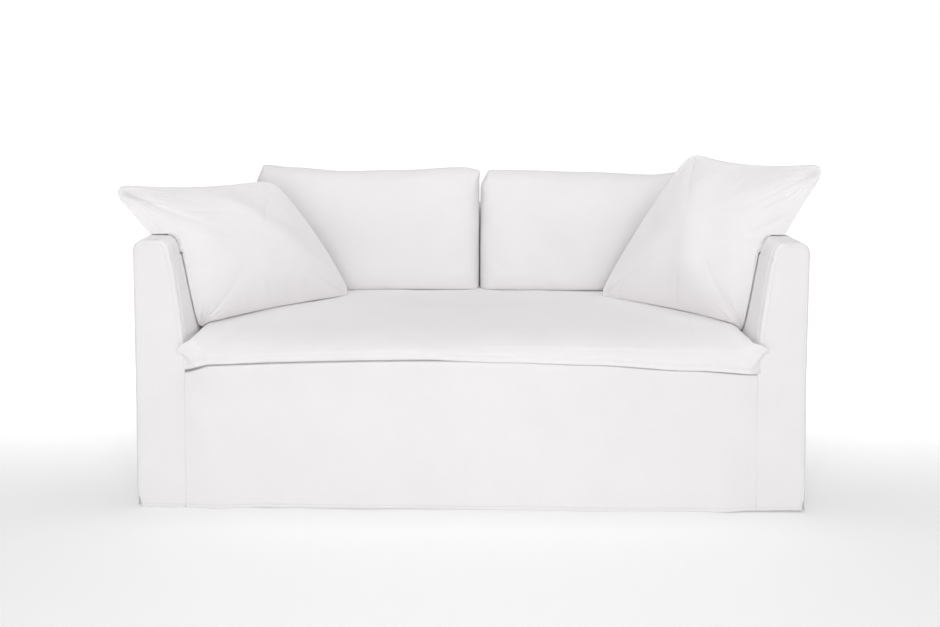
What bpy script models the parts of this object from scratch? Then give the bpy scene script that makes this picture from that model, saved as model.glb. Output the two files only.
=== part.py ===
"""Fitted linen slipcover set for a two-seat sofa: body cover, bench seat cushion, back cushions and throw pillows.

Metres, +Z up, front towards -Y. The origin is on the floor, under the middle of the set.
The body cover is a hollow of thin sewn panels, open at the floor, as it stands with the sofa left out.
"""

import math

import bmesh
import bpy
from mathutils import Vector

# Driving dimensions of the body cover.
WIDTH = 1.85
HALF = WIDTH / 2
ARM_TOP = 0.745
FRONT_Y = -0.433
BACK_Y = 0.461
BACK_DEPTH = 0.106
CLOTH = 0.002
SEAM = 0.00035
WELD = 1e-6

# Edges where the front or back cloth turns to meet the side cloth, which it laps a little.
EDGE_ROLL = 0.010
LAP = 0.003
ROLL_STEPS = (0.0, 0.25, 0.6, 1.0)
CORNER_STEPS = 4

# Rows of the walls from the floor up, and the seam on the outside of an arm, below its rounded top.
WALL_HEIGHTS = (0.0, 0.012, 0.055, 0.13, 0.21, 0.29, 0.36, 0.402, 0.434, 0.50, 0.57, 0.635)
SIDE_SEAM_Z = 0.700

# Section of an arm: narrow at the top, wider at the deck.
DECK_HALF = 0.787
ARM_LEAN = 0.036
ARM_LEAN_FROM = 0.42
ARM_LEAN_TO = 0.72
OUTER_ROUND = 0.028
INNER_ROUND_X = 0.030
INNER_ROUND_Z = 0.050

# Deck under the seat cushion: its front edge rises a little in the middle, and behind that edge it is level
# and a little lower.
DECK_EDGE = 0.398
DECK_RISE = 0.020
DECK_SINK = 0.012
DECK_SINK_LENGTH = 0.12
DECK_ROLL = 0.016
DECK_FRONT = FRONT_Y + DECK_ROLL + LAP
DECK_COLUMNS = 12
DECK_DEPTHS = (0.025, 0.045, 0.065, 0.09, 0.115, 0.145, 0.18, 0.34, 0.50, 0.62)

# Top of the back between the arms.
BACK_ROUND = 0.030
BACK_REACH_Z = 0.735

# How far the skirt stands out at the floor at its left and right ends, its corner vents and its soft folds.
FLARE_LEFT = 0.004
FLARE_RIGHT = 0.024
FLARE_HEIGHT = 0.34
HEM = 0.012
VENT_HEIGHT = 0.055
VENT_IN = 0.009
FOLD_FADE = 0.12
SKIRT_FOLDS = (
    # (x at the floor, x at the top, width, depth)
    (-0.70, -0.77, 0.050, 0.007),
    (-0.30, -0.22, 0.090, 0.004),
    (0.34, 0.30, 0.080, 0.005),
    (0.70, 0.74, 0.050, 0.006),
)

# Seat cushion. It hangs a little over the front of the deck.
REST_GAP = 0.0006
SEAT_REST_GAP = 0.001
SEAT_LIP = 0.028
SEAT_HALF = 0.7825
SEAT_EAR_LEFT = 0.024
SEAT_EAR_RIGHT = 0.035
SEAT_EAR_FROM = 0.93
SEAT_END_RISE_LEFT = 0.032
SEAT_END_RISE_RIGHT = 0.045
SEAT_FRONT_ROUND = 0.17
SEAT_EAR_ROUND = 0.045
SEAT_CORNER_BACK = 0.016
SEAT_TOP = 0.476
SEAT_CREST = 0.022
SEAT_BACK_GAP = 0.004
SEAT_LIP_ROWS = (0.0, 0.003, 0.008, 0.014, 0.020, 0.024)
SEAT_LIP_HEIGHTS = (
    # (x, height of the front seam)
    (-0.79, 0.385),
    (-0.69, 0.408),
    (-0.46, 0.419),
    (-0.23, 0.427),
    (0.09, 0.417),
    (0.31, 0.411),
    (0.58, 0.396),
    (0.79, 0.384),
)

# Back cushions: the sides and the top of each one, seen from the front.
BACK_SIDES = {
    # name: (left side, right side), each as rows of (height from 0 to 1, x)
    "back_cushion_left": (
        ((0.0, -0.748), (0.5, -0.766), (0.85, -0.750), (1.0, -0.728)),
        ((0.0, 0.0265), (0.9, 0.0265), (1.0, 0.030)),
    ),
    "back_cushion_right": (
        ((0.0, 0.0285), (0.85, 0.0300), (1.0, 0.052)),
        ((0.0, 0.755), (0.5, 0.772), (0.85, 0.760), (1.0, 0.742)),
    ),
}
BACK_TOPS = (
    # (x, height of the top seam)
    (-0.72, 0.890),
    (-0.62, 0.880),
    (-0.44, 0.868),
    (-0.25, 0.872),
    (-0.03, 0.883),
    (0.03, 0.876),
    (0.14, 0.874),
    (0.40, 0.868),
    (0.62, 0.860),
    (0.74, 0.872),
)
BACK_CUSHION_THICK = 0.185
BACK_CUSHION_FRONT = 0.575
BACK_CUSHION_LEAN = 0.070
BACK_CUSHION_CORNER = 0.035
BACK_CUSHION_GAP = 0.002

# Throw pillows: the corners of the middle surface of each one, and how far the fullest place of each side is
# off the straight line between its corners. Each is (x, depth behind the front, height). The sag of the top
# is fullest at top_skew: 1 is its middle, and less is nearer its left corner.
PILLOWS = {
    "throw_pillow_left": {
        "lower_left": (-0.795, 0.150, 0.468),
        "lower_right": (-0.390, 0.530, 0.490),
        "upper_right": (-0.642, 0.500, 0.862),
        "upper_left": (-1.008, 0.110, 0.892),
        "bottom": (0.0, 0.0, 0.004),
        "right": (0.014, 0.0, 0.010),
        "top": (0.0, 0.0, -0.020),
        "left": (0.066, -0.030, -0.004),
        "top_skew": 1.0,
        "thick": 0.150,
    },
    "throw_pillow_right": {
        "lower_left": (0.414, 0.540, 0.484),
        "lower_right": (0.797, 0.160, 0.455),
        "upper_right": (1.004, 0.170, 0.950),
        "upper_left": (0.708, 0.500, 0.966),
        "bottom": (0.0, 0.0, 0.022),
        "right": (-0.046, -0.040, 0.004),
        "top": (0.0, 0.0, -0.032),
        "left": (-0.012, 0.0, 0.004),
        "top_skew": 0.6,
        "thick": 0.155,
    },
}
PILLOW_CORNER = 0.045
PILLOW_CLEAR = 0.012
PILLOW_REST_GAP = 0.0007
PILLOW_NUDGE = 0.001

# Middle line of an arm, which a pillow is pressed away from. It ends below the arm's rounded top.
ARM_CORE_X = 0.950
ARM_CORE_Z = 0.580

LINEN = (0.83, 0.82, 0.80, 1.0)
LINEN_ROUGHNESS = 0.92


def smooth(t):
    """Ease from 0 to 1."""
    t = min(1.0, max(0.0, t))
    return t * t * (3.0 - 2.0 * t)


def mix(a, b, t):
    return a + (b - a) * t


def table_value(rows, x):
    """Smooth value at x of a short table of (x, value) rows."""
    if x <= rows[0][0]:
        return rows[0][1]
    for (x0, v0), (x1, v1) in zip(rows, rows[1:]):
        if x <= x1:
            return mix(v0, v1, smooth((x - x0) / (x1 - x0)))
    return rows[-1][1]


def spread(start, end, count):
    return [mix(start, end, i / count) for i in range(count + 1)]


def eased(count, power=1.5):
    """Positions from -1 to 1, closer together near both ends."""
    return [math.copysign(1.0 - (1.0 - abs(t)) ** power, t) for t in spread(-1.0, 1.0, count)]


def fullness(t, power, root):
    """Cross-section of a filled cushion: 1 in the middle and 0 at its rim."""
    return max(0.0, 1.0 - abs(t) ** power) ** root


def linen_material(name):
    material = bpy.data.materials.new(name)
    material.use_nodes = True
    shader = material.node_tree.nodes["Principled BSDF"]
    shader.inputs["Base Color"].default_value = LINEN
    shader.inputs["Roughness"].default_value = LINEN_ROUGHNESS
    shader.inputs["Metallic"].default_value = 0.0
    return material


def new_object(name, bm):
    mesh = bpy.data.meshes.new(name)
    bm.to_mesh(mesh)
    bm.free()
    mesh.shade_smooth()
    obj = bpy.data.objects.new(name, mesh)
    bpy.context.scene.collection.objects.link(obj)
    mesh.materials.append(linen_material(name + "_linen"))
    return obj


def add_quads(bm, grid):
    for lower, upper in zip(grid, grid[1:]):
        for a, b, c, d in zip(lower, lower[1:], upper[1:], upper):
            bm.faces.new((a, b, c, d))


def finish_panel(name, bm, inward):
    """Turns a sheet's faces outward and gives it the cloth's thickness. inward points into the hollow."""
    bm.normal_update()
    mean = sum((face.normal * face.calc_area() for face in bm.faces), Vector())
    if mean.dot(Vector(inward)) > 0:
        bmesh.ops.reverse_faces(bm, faces=bm.faces)
    obj = new_object(name, bm)
    thicken = obj.modifiers.new("Cloth thickness", "SOLIDIFY")
    thicken.thickness = CLOTH
    thicken.offset = -1.0
    return obj


def add_panel(name, rows, inward):
    """A thin sewn panel from rows of points."""
    bm = bmesh.new()
    add_quads(bm, [[bm.verts.new(point) for point in row] for row in rows])
    return finish_panel(name, bm, inward)


# ---- Body cover ----


def inner_x(z):
    """Half distance between the arms' inner faces at height z."""
    t = max(0.0, min(z, ARM_LEAN_TO) - ARM_LEAN_FROM) / (ARM_LEAN_TO - ARM_LEAN_FROM)
    x = DECK_HALF + ARM_LEAN * t**1.3
    above = (z - (ARM_TOP - INNER_ROUND_Z)) / INNER_ROUND_Z
    if above > 0.0:
        x += INNER_ROUND_X * (1.0 - math.sqrt(max(0.0, 1.0 - above * above)))
    return x


def arm_top_z(x):
    """Height of an arm's top at half width x, with its rounded corners."""
    inside = (inner_x(ARM_TOP) - x) / INNER_ROUND_X
    outside = (x - (HALF - OUTER_ROUND)) / OUTER_ROUND
    z = ARM_TOP
    if inside > 0.0:
        z -= INNER_ROUND_Z * (1.0 - math.sqrt(max(0.0, 1.0 - inside * inside)))
    if outside > 0.0:
        z -= OUTER_ROUND * (1.0 - math.sqrt(max(0.0, 1.0 - outside * outside)))
    return z


def deck_edge_z(x):
    return DECK_EDGE + DECK_RISE * (1.0 - min(1.0, abs(x) / DECK_HALF) ** 2)


def deck_z(x, y):
    return mix(deck_edge_z(x), DECK_EDGE - DECK_SINK, smooth((y - DECK_FRONT - LAP) / DECK_SINK_LENGTH))


def skirt_y(x, z):
    """Front face of the cover, with its flare at the floor and its soft folds."""
    z = max(z, HEM)
    across = (x + HALF) / WIDTH
    low = 1.0 - min(1.0, z / FLARE_HEIGHT)
    y = FRONT_Y - mix(FLARE_LEFT, FLARE_RIGHT, across) * low**1.5
    for x_floor, x_top, width, depth in SKIRT_FOLDS:
        middle = mix(x_floor, x_top, z / DECK_EDGE)
        fade = smooth((DECK_EDGE - z) / FOLD_FADE)
        y -= depth * fade * math.exp(-(((x - middle) / width) ** 2))
    return y


def rolled(distance, radius):
    """How far a face has turned back at this distance inside its edge."""
    if distance >= radius or radius <= 0.0:
        return 0.0
    return radius - math.sqrt(radius**2 - (radius - distance) ** 2)


def inner_roll(z):
    """Radius of the arm front's inner edge: none below the deck, where the skirt is sewn on."""
    return EDGE_ROLL * smooth((z - DECK_EDGE - 0.004) / 0.03)


def corner_rows(centre, reach_x, reach_z):
    """A rounded corner from its side up to its top, as rows (x, z, inward x, inward z)."""
    rows = []
    for turn in spread(0.0, math.pi / 2, CORNER_STEPS):
        side, rise = math.cos(turn), math.sin(turn)
        inward_x = math.copysign(side, -reach_x)
        rows.append((centre[0] + reach_x * side, centre[1] + reach_z * rise, inward_x, -rise))
    return rows


def outer_edge():
    """Outer edge of an arm's front, or of the back, from the floor to the top."""
    rows = [(HALF, z, -1.0, 0.0) for z in WALL_HEIGHTS]
    return rows + corner_rows((HALF - OUTER_ROUND, ARM_TOP - OUTER_ROUND), OUTER_ROUND, OUTER_ROUND)


def inner_edge():
    """Inner edge of an arm's front, from the floor to the top."""
    rows = [(inner_x(z), z, 1.0, 0.0) for z in WALL_HEIGHTS]
    centre = (inner_x(ARM_TOP), ARM_TOP - INNER_ROUND_Z)
    return rows + corner_rows(centre, -INNER_ROUND_X, INNER_ROUND_Z)


def add_dish(name, near, far, columns, face_y, forward, roll_of):
    """A face whose edge turns back round its top and sides.

    near and far are its two edges from the floor up, as rows (x, z, inward x, inward z). forward is -1
    where the face looks to -Y. roll_of(edge, z) is the radius of the turned edge there.
    """
    bm = bmesh.new()
    grid = []
    for rows in zip(near, far):
        sides = []
        for edge, (x, z, inward_x, inward_z) in enumerate(rows):
            roll = roll_of(edge, z)
            lap = LAP if roll > 0.0 else 0.0
            ring = [(x, face_y(x, z) - forward * (roll + lap), z)]
            for t in ROLL_STEPS:
                depth = EDGE_ROLL * t
                px, pz = x + inward_x * depth, z + inward_z * depth
                ring.append((px, face_y(px, pz) - forward * rolled(depth, roll), pz))
            sides.append(ring)
        low, high = sides[0][-1], sides[1][-1]
        middle = []
        for t in spread(0.0, 1.0, columns)[1:-1]:
            x, z = mix(low[0], high[0], t), mix(low[2], high[2], t)
            middle.append((x, face_y(x, z), z))
        grid.append([bm.verts.new(point) for point in sides[0] + middle + sides[1][::-1]])
    add_quads(bm, grid)
    top = grid[-1]
    last = len(ROLL_STEPS) - 1
    for i in range(last):
        bm.faces.new((top[i], top[i + 1], top[-2 - i], top[-1 - i]))
    bm.faces.new(top[last : len(top) - last])
    bmesh.ops.remove_doubles(bm, verts=bm.verts, dist=WELD)
    return finish_panel(name, bm, (0, -forward, 0))


def add_front_panel():
    heights = [z for z in WALL_HEIGHTS if z < DECK_EDGE - 2 * DECK_ROLL]
    rows = []
    for x in spread(-DECK_HALF + SEAM, DECK_HALF - SEAM, 2 * DECK_COLUMNS):
        top = deck_edge_z(x) - DECK_ROLL
        row = [(x, skirt_y(x, z), z) for z in heights]
        for turn in spread(0.0, math.pi / 2, 3):
            y = FRONT_Y + DECK_ROLL * (1.0 - math.cos(turn))
            row.append((x, y, top + DECK_ROLL * math.sin(turn)))
        row.append((x, DECK_FRONT - SEAM, deck_edge_z(x)))
        rows.append(row)
    return add_panel("front_panel", rows, (0, 1, 0))


def vented(rows):
    """The edge with its foot drawn in, where the corner seam is left open at the hem."""
    return [(x - VENT_IN * smooth(1.0 - z / VENT_HEIGHT), z, nx, nz) for x, z, nx, nz in rows]


def add_arm_front(name, side):
    """Front of an arm. Its sides and top turn back to meet the arm's other cloth."""

    def placed(rows):
        return [(side * x, z, side * inward_x, inward_z) for x, z, inward_x, inward_z in rows]

    def roll_of(edge, z):
        return inner_roll(z) if edge == 0 else EDGE_ROLL

    near = [(x + (SEAM / 2 if z < DECK_EDGE else 0.0), z, nx, nz) for x, z, nx, nz in inner_edge()]
    return add_dish(name, placed(near), placed(vented(outer_edge())), 4, skirt_y, -1.0, roll_of)


def arm_start_y(x, z, roll):
    return skirt_y(x, z) + roll + LAP + SEAM


def arm_end_y():
    return BACK_Y - EDGE_ROLL - LAP - SEAM


def deck_stations():
    """Places from front to back that the deck, the arms' inner cloth and the seat cushion share."""
    return [DECK_FRONT + depth for depth in DECK_DEPTHS]


def add_arm_outer(name, side):
    rows = []
    for z in WALL_HEIGHTS + (SIDE_SEAM_Z,):
        start = arm_start_y(side * HALF, z, EDGE_ROLL)
        rows.append([(side * HALF, mix(start, arm_end_y(), t), z) for t in spread(0.0, 1.0, 6)])
    return add_panel(name, rows, (-side, 0, 0))


def add_arm_inner(name, side):
    """Top and inside of an arm, from the seam on its outer side, over the top and down to the deck."""
    section = [(HALF, SIDE_SEAM_Z + SEAM)]
    section += [row[:2] for row in outer_edge()[len(WALL_HEIGHTS) :]]
    section += [row[:2] for row in reversed(inner_edge()) if row[1] > DECK_EDGE + 0.05]
    further = deck_stations() + [arm_end_y()]
    rows = []
    for x, z in section:
        start = arm_start_y(side * x, z, inner_roll(z))
        rows.append([(side * x, y, z) for y in [start] + further])
    foot = [DECK_FRONT + SEAM] + further
    rows.append([(side * DECK_HALF, y, deck_z(DECK_HALF, y) + 2 * SEAM) for y in foot])
    return add_panel(name, rows, (side, 0, -0.3))


def back_face_y():
    return BACK_Y - BACK_DEPTH


def deck_columns():
    return spread(-DECK_HALF, DECK_HALF, DECK_COLUMNS)


def add_deck_panel():
    """Flat cloth under the seat cushion, reaching under the arms' and the back's inner cloth."""
    reach = DECK_HALF + CLOTH
    depths = [DECK_FRONT, DECK_FRONT + LAP] + deck_stations() + [back_face_y() + CLOTH]
    rows = []
    for x in [-reach] + deck_columns() + [reach]:
        rows.append([(x, y, deck_z(x, y)) for y in depths])
    return add_panel("deck_panel", rows, (0, 0, -1))


def add_back_inner():
    """Inside of the back and its top, between the arms."""
    face = back_face_y()
    profile = [(face, None)] + [(face, z) for z in WALL_HEIGHTS if z > DECK_EDGE + 0.05]
    for turn in spread(0.0, math.pi / 2, 4):
        y = face + BACK_ROUND * (1.0 - math.cos(turn))
        profile.append((y, ARM_TOP - BACK_ROUND * (1.0 - math.sin(turn))))
    profile += [(BACK_Y - 0.05, ARM_TOP), (arm_end_y(), ARM_TOP)]
    rows = []
    for y, z in profile:
        reach = DECK_HALF - SEAM if z is None else inner_x(min(z, BACK_REACH_Z)) - SEAM
        if z and z > ARM_TOP - INNER_ROUND_Z:
            reach -= CLOTH
        xs = [x * reach / DECK_HALF for x in deck_columns()]
        rows.append([(x, y, deck_z(x, y) + SEAM if z is None else z) for x in xs])
    return add_panel("back_inner", rows, (0, 1, -0.5))


def add_back_outer():
    """Outside back, turned forward along its sides and its top."""
    right = outer_edge()
    left = [(-x, z, -nx, nz) for x, z, nx, nz in right]
    return add_dish("back_outer", left, right, 6, lambda x, z: BACK_Y, 1.0, lambda edge, z: EDGE_ROLL)


# ---- Filled cushions ----


def add_cushion(name, us, vs, face_point):
    """One closed body from two faces that share their rim. face_point(u, v, side) gives each point."""
    bm = bmesh.new()
    rim = {}
    for side in (1, -1):
        grid = []
        for i, u in enumerate(us):
            row = []
            for j, v in enumerate(vs):
                on_rim = i in (0, len(us) - 1) or j in (0, len(vs) - 1)
                vert = rim.get((i, j)) or bm.verts.new(face_point(u, v, 0 if on_rim else side))
                if on_rim:
                    rim[i, j] = vert
                row.append(vert)
            grid.append(row if side > 0 else row[::-1])
        add_quads(bm, grid)
    if bm.calc_volume(signed=True) < 0:
        bmesh.ops.reverse_faces(bm, faces=bm.faces)
    return new_object(name, bm)


def seat_front_y():
    return FRONT_Y - SEAT_LIP


def seat_back_y():
    return back_face_y() - SEAT_BACK_GAP


def seat_rest_z(x, y):
    """What the seat cushion lies on."""
    return deck_z(x, max(y, DECK_FRONT)) + SEAT_REST_GAP


def seat_end(x):
    """0 along the seat cushion, and 1 at its two ends."""
    return smooth((abs(x / SEAT_HALF) - SEAT_EAR_FROM) / (1.0 - SEAT_EAR_FROM))


def seat_rim_z(x, y):
    """Height of the seam round the seat cushion."""
    rise = SEAT_END_RISE_RIGHT if x > 0 else SEAT_END_RISE_LEFT
    front = table_value(SEAT_LIP_HEIGHTS, x) + rise * seat_end(x)
    rim = mix(front, SEAT_TOP - 0.055, smooth((y - FRONT_Y) / 0.10))
    return rim if y < FRONT_Y - LAP else max(rim, seat_rest_z(x, y) + CLOTH)


def seat_top_z(x, y):
    """Top of the seat cushion, crowned and rounded over at its front and its ends."""
    depth = (y - seat_front_y()) / (seat_back_y() - seat_front_y())
    ends = fullness(x / SEAT_HALF, 120, 0.5)
    front_round = mix(SEAT_FRONT_ROUND, SEAT_EAR_ROUND, seat_end(x))
    front = fullness(1.0 - min(1.0, depth / front_round), 2.4, 0.5)
    back = fullness(max(0.0, (depth - 0.90) / 0.10), 2.2, 0.5)
    crest = SEAT_CREST * (1.0 - abs(x / SEAT_HALF) ** 3) * smooth(depth / 0.45)
    rim = seat_rim_z(x, y)
    return rim + (SEAT_TOP + crest - rim) * min(ends, front, back)


def seat_bottom_z(x, y):
    lip = table_value(SEAT_LIP_HEIGHTS, x) - 0.003
    return mix(seat_rest_z(x, y), lip, smooth((FRONT_Y - LAP - y) / (SEAT_LIP * 0.7)))


def add_seat_cushion():
    ys = [seat_front_y() + row for row in SEAT_LIP_ROWS] + [FRONT_Y + 0.002, DECK_FRONT, DECK_FRONT + LAP]
    ys += deck_stations() + [seat_back_y() - back for back in (0.075, 0.045, 0.022, 0.008, 0.0)]

    def point(u, y, side):
        front = smooth((FRONT_Y - LAP - y) / 0.025)
        flat_x = u * SEAT_HALF
        corner = seat_end(flat_x)
        ear = SEAT_EAR_RIGHT if u > 0 else SEAT_EAR_LEFT
        x = u * (SEAT_HALF + ear * front)
        if side > 0:
            z = seat_top_z(flat_x, y)
        elif side < 0:
            z = seat_bottom_z(flat_x, y)
        else:
            z = seat_rim_z(flat_x, y)
        return (x, y + SEAT_CORNER_BACK * corner * front, z)

    return add_cushion("seat_cushion", eased(22, 2.0), ys, point)


def squared(u, v, corner, power):
    """Rounds the corners of the square that u and v run over."""
    pull = corner * (u * v) ** power
    return u * (1.0 - pull), v * (1.0 - pull)


def bow(t, skew=1.0):
    """A side's bend from corner to corner: 0 at both ends and 1 at its fullest, which skew moves along."""
    fullest = skew / (skew + 1.0)
    return t**skew * (1.0 - t) / (fullest**skew * (1.0 - fullest))


def add_back_cushion(name):
    left_side, right_side = BACK_SIDES[name]
    foot = SEAT_TOP + SEAT_CREST * 0.5

    def point(u, v, side):
        across, up = squared(u, v, BACK_CUSHION_CORNER, 10)
        up = (up + 1) / 2
        x = mix(table_value(left_side, up), table_value(right_side, up), (across + 1) / 2)
        z = mix(foot, table_value(BACK_TOPS, x), up)
        full = min(fullness(u, 7, 0.5), fullness(v, 6 if v < 0 else 2.6, 0.5))
        full *= 0.88 + 0.12 * fullness(u, 2, 1.0) * fullness(v, 2, 1.0)
        thick = BACK_CUSHION_THICK / 2
        y = FRONT_Y + BACK_CUSHION_FRONT + thick + BACK_CUSHION_LEAN * up - side * thick * full
        y = min(y, back_face_y() - BACK_CUSHION_GAP)
        return (x, y, max(z, seat_top_z(x, y) + REST_GAP))

    return add_cushion(name, eased(16), eased(14), point)


def near_arm(across, z):
    """True inside an arm's section, and less than a pillow's clearance outside it."""
    inside = across > inner_x(min(z, ARM_TOP)) - PILLOW_CLEAR
    below = z < arm_top_z(min(across, HALF)) + PILLOW_CLEAR
    return inside and below and across < HALF + PILLOW_CLEAR


def kept_clear(point):
    """Presses a pillow's point off the arm and off the seat, as the soft cloth gives way."""
    x, y, z = point
    at = Vector((abs(x), z))
    nudge = (at - Vector((ARM_CORE_X, min(z, ARM_CORE_Z)))).normalized() * PILLOW_NUDGE
    while near_arm(*at):
        at += nudge
    floor = seat_top_z(math.copysign(min(at.x, SEAT_HALF), x), y) + PILLOW_REST_GAP
    return (math.copysign(at.x, x), y, max(at.y, floor))


def add_throw_pillow(name):
    given = PILLOWS[name]
    front = Vector((0, FRONT_Y, 0))
    low_left, low_right = Vector(given["lower_left"]) + front, Vector(given["lower_right"]) + front
    up_left, up_right = Vector(given["upper_left"]) + front, Vector(given["upper_right"]) + front
    bottom, top, left, right = [Vector(given[side]) for side in ("bottom", "top", "left", "right")]
    across = (low_right + up_right) - (low_left + up_left)
    normal = across.cross((up_left + up_right) - (low_left + low_right)).normalized()

    def middle(u, v):
        """Middle surface of the pillow between its corners, with its sides bent."""
        s, t = [(at + 1) / 2 for at in squared(u, v, PILLOW_CORNER, 8)]
        at = low_left.lerp(low_right, s).lerp(up_left.lerp(up_right, s), t)
        at += bottom * (1 - t) * bow(s) + top * t * bow(s, given["top_skew"])
        at += (left * (1 - s) ** 2 + right * s**2) * bow(t)
        return at

    def point(u, v, side):
        full = fullness(u, 2.4, 0.55) * fullness(v, 2.4, 0.55)
        return kept_clear(middle(u, v) + normal * (side * given["thick"] / 2 * full))

    return add_cushion(name, eased(18), eased(26, 1.1), point)


def clear_scene():
    for obj in list(bpy.data.objects):
        bpy.data.objects.remove(obj, do_unlink=True)


def main():
    clear_scene()
    add_front_panel()
    for word, side in (("left", -1), ("right", 1)):
        add_arm_front("arm_front_" + word, side)
        add_arm_outer("arm_outer_" + word, side)
        add_arm_inner("arm_inner_" + word, side)
    add_deck_panel()
    add_back_inner()
    add_back_outer()
    add_seat_cushion()
    for name in BACK_SIDES:
        add_back_cushion(name)
    for name in PILLOWS:
        add_throw_pillow(name)


main()
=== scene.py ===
"""Visual model of the fitted linen slipcover set, dressed over its CAD solids."""

import math

import bmesh
import bpy
import numpy as np
from mathutils import Matrix, Vector, noise


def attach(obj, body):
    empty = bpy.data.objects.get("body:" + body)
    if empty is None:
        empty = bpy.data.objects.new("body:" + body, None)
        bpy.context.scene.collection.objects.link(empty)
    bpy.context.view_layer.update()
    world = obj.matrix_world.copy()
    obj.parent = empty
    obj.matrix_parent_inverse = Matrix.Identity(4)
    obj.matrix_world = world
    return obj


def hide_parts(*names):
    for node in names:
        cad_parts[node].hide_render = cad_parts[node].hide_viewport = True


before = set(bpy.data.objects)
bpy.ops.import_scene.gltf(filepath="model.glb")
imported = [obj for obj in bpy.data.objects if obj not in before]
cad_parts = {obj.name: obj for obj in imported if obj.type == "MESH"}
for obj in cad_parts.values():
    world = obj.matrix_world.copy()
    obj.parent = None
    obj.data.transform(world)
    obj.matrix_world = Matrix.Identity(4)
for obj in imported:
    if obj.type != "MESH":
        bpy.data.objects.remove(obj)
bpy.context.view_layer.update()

# Camera of the photograph: metres, degrees and millimetres.
EYE = (0, -3.133, 1.192)
EYE_TILT = 4.25
EYE_ROLL = 0.25
LENS = 38.36
SENSOR = 36
SHIFT = (-0.0021, -0.1724)

# Studio. The world is white below the first of these slopes and fades out at the second. Its sky brightens
# from the front to the back, and so does the floor's glow. That glow is painted light: the floor is dimmer
# in front of the set and near it, and white further back.
HORIZON_GLOW = (0.12, 0.26)
SKY_DEPTHS = (-0.2, 0.8)
SKY_LIGHT = (0.22, 0.5)
FLOOR_DEPTHS = (-0.6, 1.4)
FLOOR_PAINTED_GLOW = (0.2, 0.95)
FLOOR_SIZE = 80
FLOOR_TONE = (0.8, 0.8, 0.8, 1)
WHITE = (1, 1, 1, 1)
LIGHTS = (
    # (name, place, what it points at, size, power)
    ("key", (0, -2.8, 1.95), (0, -0.3, 0.4), (1.4, 0.9), 14),
    ("front", (0, -4.5, 1.3), (0, 0, 0.4), (4, 2.4), 57),
    ("top", (0, -0.4, 4), (0, -0.4, 0.4), (4, 2), 58),
    ("back", (0, 4.5, 1.3), (0, 0, 0.4), (4, 2.4), 30),
)

# Cloth and thread: colours, sizes and shares of their noise, and depths in metres.
LINEN_LIGHT = (0.89, 0.87, 0.88, 1)
LINEN_DARK = (0.815, 0.797, 0.806, 1)
DECK_LIGHT = (0.865, 0.845, 0.85, 1)
DECK_DARK = (0.795, 0.775, 0.78, 1)
THREAD_LIGHT = (0.8, 0.79, 0.77, 1)
THREAD_DARK = (0.66, 0.65, 0.62, 1)
EVEN = (1, 1, 1)
YARN_ACROSS = 1400
YARN_ALONG = 22
CLOUD_SIZE = 5
FOLD_SIZE = 26
FINE_SIZE = 120
TWIST_SIZE = 900
CLOUD_SHARE = 0.35
FINE_SHARE = 0.18
WAVES_BY_PITCH = 0.314
WEAVE_BUMP = 0.35
WEAVE_DEPTH_BY_PITCH = 0.4
WRINKLE_DEPTH = 0.004
CLOTH_ROUGH = (0.86, 0.98)
LINEN_PITCH = 0.0009
LINEN_SLUB = 0.3

# Driving dimensions of the cover, as in the CAD source.
WIDTH = 1.85
HALF = WIDTH / 2
ARM_TOP = 0.745
FRONT_Y = -0.433
BACK_Y = 0.461
BACK_DEPTH = 0.106
CLOTH = 0.002
SEAM = 0.00035
EDGE_ROLL = 0.01
LAP = 0.003
SIDE_SEAM_Z = 0.7
DECK_HALF = 0.787
ARM_LEAN = 0.036
ARM_LEAN_FROM = 0.42
ARM_LEAN_TO = 0.72
OUTER_ROUND = 0.028
INNER_ROUND_X = 0.03
INNER_ROUND_Z = 0.05
DECK_EDGE = 0.398
DECK_RISE = 0.02
DECK_SINK = 0.012
DECK_SINK_LENGTH = 0.12
DECK_ROLL = 0.016
DECK_FRONT = FRONT_Y + DECK_ROLL + LAP
ARM_END_Y = BACK_Y - EDGE_ROLL - LAP - SEAM
BACK_FACE_Y = BACK_Y - BACK_DEPTH
BACK_ROUND = 0.03
BACK_REACH_Z = 0.735
FLARE_LEFT = 0.004
FLARE_RIGHT = 0.024
FLARE_HEIGHT = 0.34
HEM = 0.012
VENT_HEIGHT = 0.055
VENT_IN = 0.009
FOLD_FADE = 0.12
SKIRT_FOLDS = (
    # (x at the floor, x at the top, width, depth)
    (-0.7, -0.77, 0.05, 0.007), (-0.3, -0.22, 0.09, 0.004), (0.34, 0.3, 0.08, 0.005),
    (0.7, 0.74, 0.05, 0.006),
)
REST_GAP = 0.0006
SEAT_REST_GAP = 0.001
SEAT_LIP = 0.028
SEAT_HALF = 0.7825
SEAT_EAR_LEFT = 0.024
SEAT_EAR_RIGHT = 0.035
SEAT_EAR_FROM = 0.93
SEAT_END_RISE_LEFT = 0.032
SEAT_END_RISE_RIGHT = 0.045
SEAT_FRONT_ROUND = 0.17
SEAT_EAR_ROUND = 0.045
SEAT_CORNER_BACK = 0.016
SEAT_TOP = 0.476
SEAT_CREST = 0.022
SEAT_REAR_SINK = 0.016
SEAT_TUCK = 0.017
SEAT_TUCK_RISE = 0.024
SEAT_BACK_GAP = 0.004
SEAT_FRONT_Y = FRONT_Y - SEAT_LIP
SEAT_BACK_Y = BACK_FACE_Y - SEAT_BACK_GAP
SEAT_FRONT_POWER = 2.4
SEAT_BACK_POWER = 2.2
SEAT_BACK_ROUND = 0.1
SEAT_RIM_DROP = 0.055
SEAT_WELT_DEPTH = 0.0014
SEAT_WELT_HEIGHT = 0.009
SEAT_WELT_WIDTH = 0.0022
SEAT_RIM_RISE = 0.1
PANEL_SINK_WIDTH = 0.0004
PANEL_TOP_ROLL = 0.005
PANEL_TOP_DROP = 0.0055
PANEL_EDGE = 0.016
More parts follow.
